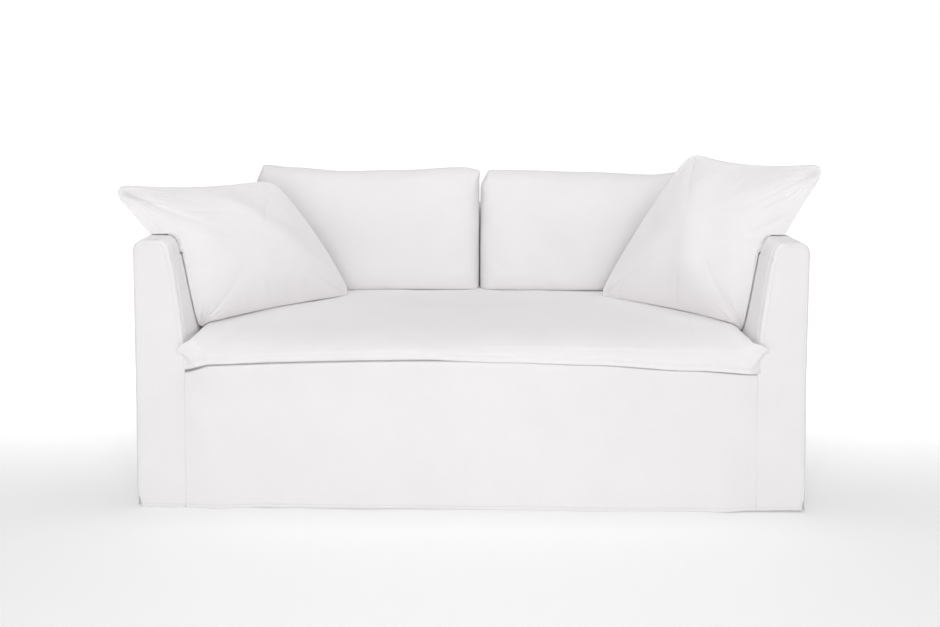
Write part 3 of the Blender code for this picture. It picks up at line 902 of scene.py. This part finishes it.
def add_deck_panel():
    """Flat cloth under the seat cushion, reaching under the arms' and the back's inner cloth."""
    reach = DECK_HALF + CLOTH
    depths = [DECK_FRONT, DECK_FRONT + LAP] + spread(DECK_FRONT + 0.012, BACK_FACE_Y + CLOTH, 40)
    rows = [[(x, y, deck_z(x, y)) for y in depths] for x in spread(-reach, reach, 80)]
    return add_panel("deck_panel", rows, (0, 0, -1), None, DECK)


def add_back_inner():
    """Inside of the back and its top, between the arms."""
    face = BACK_FACE_Y
    profile = [(face, None)] + [(face, z) for z in FINE_HEIGHTS if z > DECK_EDGE + 0.05]
    profile = [row for row in profile if row[1] is None or row[1] < ARM_TOP - BACK_ROUND]
    for turn in spread(0, math.pi / 2, 12):
        y = face + BACK_ROUND * (1 - math.cos(turn))
        profile.append((y, ARM_TOP - BACK_ROUND * (1 - math.sin(turn))))
    profile += [(y, ARM_TOP) for y in spread(face + BACK_ROUND, ARM_END_Y, 8)[1:]]

    def detail(co):
        edge = smooth((inner_x(min(co.z, BACK_REACH_Z)) - abs(co.x)) / ARM_CALM)
        edge *= smooth((co.z - DECK_EDGE) / ARM_CALM) * smooth((ARM_END_Y - co.y) / SEAM_CALM)
        return uneven(co.x, co.z + co.y, SIDE_LAYERS, 31) * edge

    rows = []
    for y, z in profile:
        reach = DECK_HALF - SEAM if z is None else inner_x(min(z, BACK_REACH_Z)) - SEAM
        if z and z > ARM_TOP - INNER_ROUND_Z:
            reach -= CLOTH
        xs = spread(-reach, reach, 140)
        rows.append([(x, y, deck_z(x, y) + SEAM if z is None else z) for x in xs])
    return add_panel("back_inner", rows, (0, 1, -0.5), detail)


def back_folds(co):
    away = min(HALF - abs(co.x), ARM_TOP - co.z)
    return uneven(co.x, co.z, SIDE_LAYERS, 41) * smooth(away / SEAM_CALM)


def add_back_outer():
    """Outside back, turned forward along its sides and its top."""
    right = outer_edge()
    left = [(-x, z, -nx, nz) for x, z, nx, nz in right]

    def face_y(x, z):
        return BACK_Y

    def roll_of(edge, z):
        return EDGE_ROLL

    def lifted(x, z):
        return z

    return add_dish("back_outer", left, right, 150, face_y, 1, roll_of, back_folds, lifted)


# ---- Filled cushions ----


def add_two_faces(bm, us, vs, face_point):
    """Two grids of vertices that share their rim and close a body.

    face_point(u, v, side) gives each point, with side 1, -1, or 0 on the rim. Gives the vertices by
    (i, j, side), in the order they are made in.
    """
    made = {}
    for side in (1, -1):
        grid = []
        for i, u in enumerate(us):
            row = []
            for j, v in enumerate(vs):
                on_rim = i in (0, len(us) - 1) or j in (0, len(vs) - 1)
                key = (i, j, 0 if on_rim else side)
                if key not in made:
                    made[key] = bm.verts.new(face_point(u, v, key[2]))
                row.append(made[key])
            grid.append(row)
        add_quads(bm, grid, side < 0)
    if bm.calc_volume(signed=True) < 0:
        bmesh.ops.reverse_faces(bm, faces=bm.faces)
    return made


def add_cushion(name, us, vs, face_point, detail, material, settled=None):
    """One filled body. detail(u, v, side, co) says how far each point is moved outward.

    settled(co) then presses it off its neighbours.
    """
    bm = bmesh.new()
    made = add_two_faces(bm, us, vs, face_point)
    bm.normal_update()
    moves = {}
    for (i, j, side), vert in made.items():
        moves[vert] = vert.normal * detail(us[i], vs[j], side, vert.co)
    for vert, move in moves.items():
        vert.co = settled(vert.co + move) if settled else vert.co + move
    obj = new_object(name + "_soft", bm, material)
    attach(obj, "root")
    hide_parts(name)
    return obj


def seat_rest_z(x, y):
    """What the seat cushion lies on."""
    return deck_z(x, max(y, DECK_FRONT)) + SEAT_REST_GAP


def seat_end(x):
    """0 along the seat cushion, and 1 at its two ends."""
    return smooth((abs(x / SEAT_HALF) - SEAT_EAR_FROM) / (1 - SEAT_EAR_FROM))


def seat_rim_z(x, y):
    """Height of the seam round the seat cushion."""
    rise = SEAT_END_RISE_RIGHT if x > 0 else SEAT_END_RISE_LEFT
    front = table_value(SEAT_LIP_HEIGHTS, x) + rise * seat_end(x)
    rim = mix(front, SEAT_TOP - SEAT_RIM_DROP, smooth((y - FRONT_Y) / SEAT_RIM_RISE))
    return rim if y < FRONT_Y - LAP else max(rim, seat_rest_z(x, y) + CLOTH)


def seat_top_z(x, y):
    """Top of the seat cushion, crowned and rounded over at its front and its ends."""
    depth = (y - SEAT_FRONT_Y) / (SEAT_BACK_Y - SEAT_FRONT_Y)
    ends = fullness(x / SEAT_HALF, 120, 0.5)
    front_round = mix(SEAT_FRONT_ROUND, SEAT_EAR_ROUND, seat_end(x))
    front = fullness(1 - min(1, depth / front_round), SEAT_FRONT_POWER, 0.5)
    past = (depth - (1 - SEAT_BACK_ROUND)) / SEAT_BACK_ROUND
    back = fullness(max(0, past), SEAT_BACK_POWER, 0.5)
    crest = SEAT_CREST * (1 - abs(x / SEAT_HALF) ** 3) * smooth(depth / 0.45)
    crest -= SEAT_REAR_SINK * smooth((depth - 0.3) / 0.5)
    rim = seat_rim_z(x, y)
    return rim + (SEAT_TOP + crest - rim) * min(ends, front, back)


def seat_bottom_z(x, y):
    lip = table_value(SEAT_LIP_HEIGHTS, x) - 0.003
    return mix(seat_rest_z(x, y), lip, smooth((FRONT_Y - LAP - y) / (SEAT_LIP * 0.7)))


def seat_rows():
    """Depths of the seat cushion's rows, even along its rounded front and back."""
    length = SEAT_BACK_Y - SEAT_FRONT_Y
    front, back = SEAT_FRONT_ROUND * length, SEAT_BACK_ROUND * length
    ys = [front * (1 - (1 - s * s) ** (1 / SEAT_FRONT_POWER)) for s in spread(0, 0.97, 44)]
    ys += spread(ys[-1] + 0.008, length - back, 50)
    for s in reversed(spread(0, 0.95, 10)):
        ys.append(length - back * (1 - (1 - s * s) ** (1 / SEAT_BACK_POWER)))
    return [SEAT_FRONT_Y + y for y in ys]


def add_seat_cushion():
    def point(u, y, side):
        front = smooth((FRONT_Y - LAP - y) / 0.025)
        flat_x = u * SEAT_HALF
        corner = seat_end(flat_x)
        ear = SEAT_EAR_RIGHT if u > 0 else SEAT_EAR_LEFT
        x = u * (SEAT_HALF + ear * front)
        if side > 0:
            z = seat_top_z(flat_x, y)
        elif side < 0:
            z = seat_bottom_z(flat_x, y)
        else:
            z = seat_rim_z(flat_x, y)
        under = 1 - smooth((z - seat_rim_z(flat_x, y)) / SEAT_TUCK_RISE)
        tuck = SEAT_TUCK * under * (1 - smooth((y - SEAT_FRONT_Y) / SEAT_LIP))
        return (x, y + tuck + SEAT_CORNER_BACK * corner * front, z)

    def detail(u, y, side, co):
        if side < 0 or y > SEAT_BACK_Y - 0.02:
            return 0
        rise = co.z - seat_rim_z(u * SEAT_HALF, y)
        away = max(rise, y - SEAT_FRONT_Y)
        near = 1 - smooth(away / 0.07)
        height = 0.0022 * near * rumple(co.x, away * 0.4, 0.045, 51)
        height += 0.0028 * smooth(away / 0.05) * rumple(co.x, co.y, 0.2, 53)
        height += 0.0008 * rumple(co.x, co.y, 0.05, 55)
        for line in SEAT_CREASES:
            height += crease(co.x, co.y, line)
        if side > 0:
            welt = 1 - smooth((y - FRONT_Y) / 0.02)
            height -= SEAT_WELT_DEPTH * bell(rise - SEAT_WELT_HEIGHT, SEAT_WELT_WIDTH) * welt
        ends = smooth((1 - abs(u)) / 0.02)
        return height * ends

    us = eased(240, 1.6)
    return add_cushion("seat_cushion", us, seat_rows(), point, detail, CUSHION)


def squared(u, v, corner, power):
    """Rounds the corners of the square that u and v run over."""
    pull = corner * (u * v) ** power
    return u * (1 - pull), v * (1 - pull)


def bow(t, skew=1):
    """A side's bend from corner to corner: 0 at both ends and 1 at its fullest, which skew moves along."""
    t = min(1, max(0, t))
    fullest = skew / (skew + 1)
    return t**skew * (1 - t) / (fullest**skew * (1 - fullest))


def add_back_cushion(name, seed):
    left_side, right_side = BACK_SIDES[name]
    foot = SEAT_TOP - BACK_CUSHION_PRESS
    x_of_middle = left_side[0][1] + right_side[0][1]

    def point(u, v, side):
        across, up = squared(u, v, BACK_CUSHION_CORNER, 14)
        up = (up + 1) / 2
        x = mix(table_value(left_side, up), table_value(right_side, up), (across + 1) / 2)
        z = mix(foot, table_value(BACK_TOPS, x), up)
        inner_side = u * x_of_middle < 0
        edge_u = fullness(u, 16 if inner_side else 7, 0.5)
        edge_v = fullness(v, 8 if v < 0 else 3, 0.5)
        full = (edge_u**-4 + edge_v**-4 - 1) ** -0.25 if edge_u * edge_v > 0 else 0
        full *= 0.88 + 0.12 * fullness(u, 2, 1) * fullness(v, 2, 1)
        thick = BACK_CUSHION_THICK / 2
        y = FRONT_Y + BACK_CUSHION_FRONT + thick + BACK_CUSHION_LEAN * up - side * thick * full
        y = min(y, BACK_FACE_Y - BACK_CUSHION_GAP)
        return (x, y, max(z, seat_top_z(x, y) + REST_GAP))

    def detail(u, v, side, co):
        away = min(1 - abs(u), 1 - abs(v))
        if side < 0:
            return 0
        near = 1 - smooth(away / 0.22)
        along = co.x if 1 - abs(v) < 1 - abs(u) else co.z
        height = 0.0012 * near * rumple(along, away * 0.2, 0.04, seed)
        height += 0.0032 * rumple(co.x, co.z, 0.17, seed + 2)
        height += 0.0008 * rumple(co.x, co.z, 0.05, seed + 4)
        for line in BACK_CREASES:
            height += crease(co.x, co.z, line)
        return height * smooth(away / 0.01)

    us, vs = eased(130), eased(110)
    return add_cushion(name, us, vs, point, detail, CUSHION)


def near_arm(across, z):
    """True inside an arm's section, and less than a pillow's clearance outside it."""
    inside = across > inner_x(min(z, ARM_TOP)) - PILLOW_CLEAR
    below = z < arm_top_z(min(across, HALF)) + PILLOW_CLEAR
    return inside and below and across < HALF + PILLOW_CLEAR


def kept_clear(point):
    """Presses a pillow's point off the arm and off the seat, as the soft cloth gives way."""
    x, y, z = point
    at = Vector((abs(x), z))
    nudge = (at - Vector((ARM_CORE_X, min(z, ARM_CORE_Z)))).normalized() * PILLOW_NUDGE
    while near_arm(*at):
        at += nudge
    floor = seat_top_z(math.copysign(min(at.x, SEAT_HALF), x), y) + PILLOW_REST_GAP
    return (math.copysign(at.x, x), y, max(at.y, floor))


# ---- Cloth simulation of a pillow ----

PILLOW_SIZE = 0.5
PILLOW_CELLS = 64
PILLOW_FRAMES = 36
PILLOW_START = 0.016
PILLOW_CLOTH = {
    "quality": 6,
    "mass": 0.12,
    "tension_stiffness": 25,
    "compression_stiffness": 25,
    "shear_stiffness": 10,
    "bending_stiffness": 0.4,
    "air_damping": 2,
    "use_pressure": True,
    "uniform_pressure_force": 9,
}
PILLOW_SOFTENING = 24
PILLOW_WRINKLES = 0.55
PILLOW_STEPS = 150
PILLOW_EAR_CUT = 0.08
EAR_POWER = 32


def blown_pillow(seed):
    """Two flat square panels that are sewn together at their rim and blown up by cloth simulation.

    Gives the heights of both faces on a grid of cells, with 1 at the fullest place.
    """
    ts = spread(-1, 1, PILLOW_CELLS)

    def flat_point(u, v, side):
        lift = PILLOW_START * (1 - u * u) * (1 - v * v) * (1 + 0.5 * rumple(u, v, 0.3, seed))
        return (u * PILLOW_SIZE / 2, v * PILLOW_SIZE / 2, side * lift)

    bm = bmesh.new()
    keys = list(add_two_faces(bm, ts, ts, flat_point))
    obj = new_object("pillow_study", bm, PILLOW)
    cloth = obj.modifiers.new("Cloth", "CLOTH")
    for setting, value in PILLOW_CLOTH.items():
        setattr(cloth.settings, setting, value)
    cloth.settings.effector_weights.gravity = 0
    cloth.point_cache.frame_start = 1
    cloth.point_cache.frame_end = PILLOW_FRAMES
    scene = bpy.context.scene
    for number in range(1, PILLOW_FRAMES + 1):
        scene.frame_set(number)
    solved = obj.evaluated_get(bpy.context.evaluated_depsgraph_get())
    found = dict(zip(keys, [vert.co.copy() for vert in solved.data.vertices]))
    scene.frame_set(1)
    bpy.data.objects.remove(obj, do_unlink=True)

    faces = {}
    cells = range(len(ts))
    for side in (1, -1):
        rows = [[found.get((i, j, side), found.get((i, j, 0))) for j in cells] for i in cells]
        faces[side] = np.array([[abs(co.z) for co in row] for row in rows])
    highest = max(face.max() for face in faces.values())
    return {side: face / highest for side, face in faces.items()}


def flattened(heights):
    """A pillow's face from its simulated one: flat at its seam, with the sharpest puckers softened."""
    ts = np.array(spread(-1, 1, PILLOW_CELLS))
    edge = 1 - np.maximum(np.abs(ts)[:, None], np.abs(ts)[None, :])
    heights = heights.copy()
    heights[[0, -1], :] = 0
    heights[:, [0, -1]] = 0
    soft = heights.copy()
    for _ in range(PILLOW_SOFTENING):
        near = (soft[:-2, 1:-1] + soft[2:, 1:-1] + soft[1:-1, :-2] + soft[1:-1, 2:]) / 4
        soft[1:-1, 1:-1] = near
    kept = PILLOW_WRINKLES * np.clip(edge / 0.12, 0, 1)
    return soft + kept * (heights - soft)


def between_cells(face, u, v):
    """Value at (u, v) of a grid of cells that runs from -1 to 1."""
    a = min(PILLOW_CELLS - 1e-6, (u + 1) / 2 * PILLOW_CELLS)
    b = min(PILLOW_CELLS - 1e-6, (v + 1) / 2 * PILLOW_CELLS)
    i, j = int(a), int(b)
    low = mix(face[i, j], face[i, j + 1], b - j)
    high = mix(face[i + 1, j], face[i + 1, j + 1], b - j)
    return mix(low, high, a - i)


def blunted(u, v, cut):
    """Cuts the corners off the square that u and v run over, in a soft line."""
    reach = max(abs(u), abs(v))
    if reach == 0:
        return u, v
    diagonal = (abs(u) + abs(v)) / (2 - cut)
    bent = (abs(u) ** EAR_POWER + abs(v) ** EAR_POWER + diagonal**EAR_POWER) ** (1 / EAR_POWER)
    return u * reach / bent, v * reach / bent


def add_throw_pillow(name, seed):
    given = PILLOWS[name]
    front = Vector((0, FRONT_Y, 0))
    low_left, low_right, up_left, up_right = [Vector(place) + front for place in given["corners"]]
    bottom, top, left, right = [Vector(bend) for bend in given["bends"]]
    outward = math.copysign(1, up_left.x + up_right.x)
    across = (low_right + up_right) - (low_left + up_left)
    normal = across.cross((up_left + up_right) - (low_left + low_right)).normalized()
    blown = blown_pillow(seed)
    faces = {side: flattened(face) for side, face in blown.items()}

    def middle(u, v):
        """Middle surface of the pillow between its corners, with its sides bent."""
        outer_ear = v > 0 and u * outward > 0
        s, t = [(at + 1) / 2 for at in blunted(u, v, given["blunt"] if outer_ear else PILLOW_EAR_CUT)]
        at = low_left.lerp(low_right, s).lerp(up_left.lerp(up_right, s), t)
        at += bottom * (1 - t) * bow(s) + top * t * bow(s, given["top_skew"])
        at += (left * (1 - s) ** 2 + right * s**2) * bow(t)
        return at

    def point(u, v, side):
        height = side * between_cells(faces[side or 1], u, v)
        return kept_clear(middle(u, v) + normal * (height * given["thick"] / 2))

    def detail(u, v, side, co):
        if side == 0:
            return 0.001
        edge = 1 - max(abs(u), abs(v))
        along = v if abs(u) > abs(v) else u
        height = 0.001 * rumple(along, edge * 0.15, 0.055, seed + 2) * (1 - smooth(edge / 0.22))
        height += 0.0014 * rumple(u, v, 0.3, seed + 4) + 0.0005 * rumple(u, v, 0.09, seed + 6)
        for corner_u, corner_v, count, reach, depth in given["ears"]:
            away = math.hypot(u - corner_u, v - corner_v)
            turn = math.atan2(v - corner_v, u - corner_u)
            waves = math.sin(count * turn + 2 * rumple(away, turn, 0.4, seed + 8))
            height += depth * waves * smooth(away / 0.12) * (1 - smooth((away - 0.15) / reach))
        if side > 0:
            for line in given["folds"]:
                height += crease(u, v, line)
        return height * smooth(edge / 0.03)

    us = eased(PILLOW_STEPS, 1.4)
    return add_cushion(name, us, us, point, detail, PILLOW, kept_clear)


# ---- Stage ----


def add_stage():
    """A pale floor with painted light: it glows a little, and more so behind the set. The glow stands in for
    studio light on the floor and leaves it dimmer near the set.
    """
    bpy.ops.mesh.primitive_plane_add(size=1)
    floor = bpy.context.object
    floor.name = "studio_floor"
    floor.scale = (FLOOR_SIZE, FLOOR_SIZE, 1)
    material, tree, shader = new_material("studio_floor")
    place = tree.nodes.new("ShaderNodeNewGeometry").outputs["Position"]
    depth = new_node(tree, "ShaderNodeSeparateXYZ", Vector=place).outputs["Y"]
    # Painted light: the glow rises from the front to the back, so the floor is dim round the set and white
    # far behind.
    glow = mapped(tree, depth, FLOOR_DEPTHS, FLOOR_PAINTED_GLOW, "SMOOTHSTEP")
    set_inputs(tree, shader, Base_Color=FLOOR_TONE, Roughness=1, Specular_IOR_Level=0)
    set_inputs(tree, shader, Emission_Color=WHITE, Emission_Strength=glow)
    floor.data.materials.append(material)


def add_light(name, place, aim, size, energy):
    data = bpy.data.lights.new(name, "AREA")
    data.shape = "RECTANGLE"
    data.size, data.size_y = size
    data.energy = energy
    lamp = bpy.data.objects.new(name, data)
    lamp.location = place
    lamp.rotation_euler = (Vector(aim) - Vector(place)).to_track_quat("-Z", "Y").to_euler()
    bpy.context.scene.collection.objects.link(lamp)


def add_camera():
    data = bpy.data.cameras.new("photo_camera")
    data.sensor_width = SENSOR
    data.lens = LENS
    data.shift_x, data.shift_y = SHIFT
    camera = bpy.data.objects.new("photo_camera", data)
    tilt = Matrix.Rotation(math.radians(90 - EYE_TILT), 4, "X")
    roll = Matrix.Rotation(math.radians(EYE_ROLL), 4, "Z")
    camera.matrix_world = Matrix.Translation(EYE) @ (tilt @ roll)
    bpy.context.scene.collection.objects.link(camera)
    bpy.context.scene.camera = camera


def add_world():
    """A studio that is white round the horizon, and dimmer overhead, most of all in front of the set."""
    world = bpy.data.worlds.new("studio")
    world.use_nodes = True
    tree = world.node_tree
    background = tree.nodes["Background"]
    slope = tree.nodes.new("ShaderNodeTexCoord").outputs["Generated"]
    split = new_node(tree, "ShaderNodeSeparateXYZ", Vector=slope)
    glow = mapped(tree, split.outputs["Z"], HORIZON_GLOW, (1, 0), "SMOOTHSTEP")
    behind = mapped(tree, split.outputs["Y"], SKY_DEPTHS, SKY_LIGHT, "SMOOTHSTEP")
    tree.links.new(combined(tree, "MAXIMUM", glow, behind), background.inputs["Color"])
    scene = bpy.context.scene
    scene.world = world
    scene.view_settings.view_transform = "Standard"
    scene.view_settings.look = "None"


# ---- Main ----


def add_body_cover():
    hems = dict(zip(("front", "back", "left", "right"), add_hem_stitches()))
    front = add_front_panel()
    for word, side in (("left", -1), ("right", 1)):
        face, seams = add_arm_front("arm_front_" + word, side)
        outer = add_arm_outer("arm_outer_" + word, side)
        inner = add_arm_inner("arm_inner_" + word, side)
    deck = add_deck_panel()
    lining = add_back_inner()
    back, seams = add_back_outer()


add_camera()
add_world()
add_stage()
for light in LIGHTS:
    add_light(*light)
add_body_cover()
add_seat_cushion()
add_back_cushion("back_cushion_left", 61)
add_back_cushion("back_cushion_right", 71)
add_throw_pillow("throw_pillow_left", 81)
add_throw_pillow("throw_pillow_right", 91)
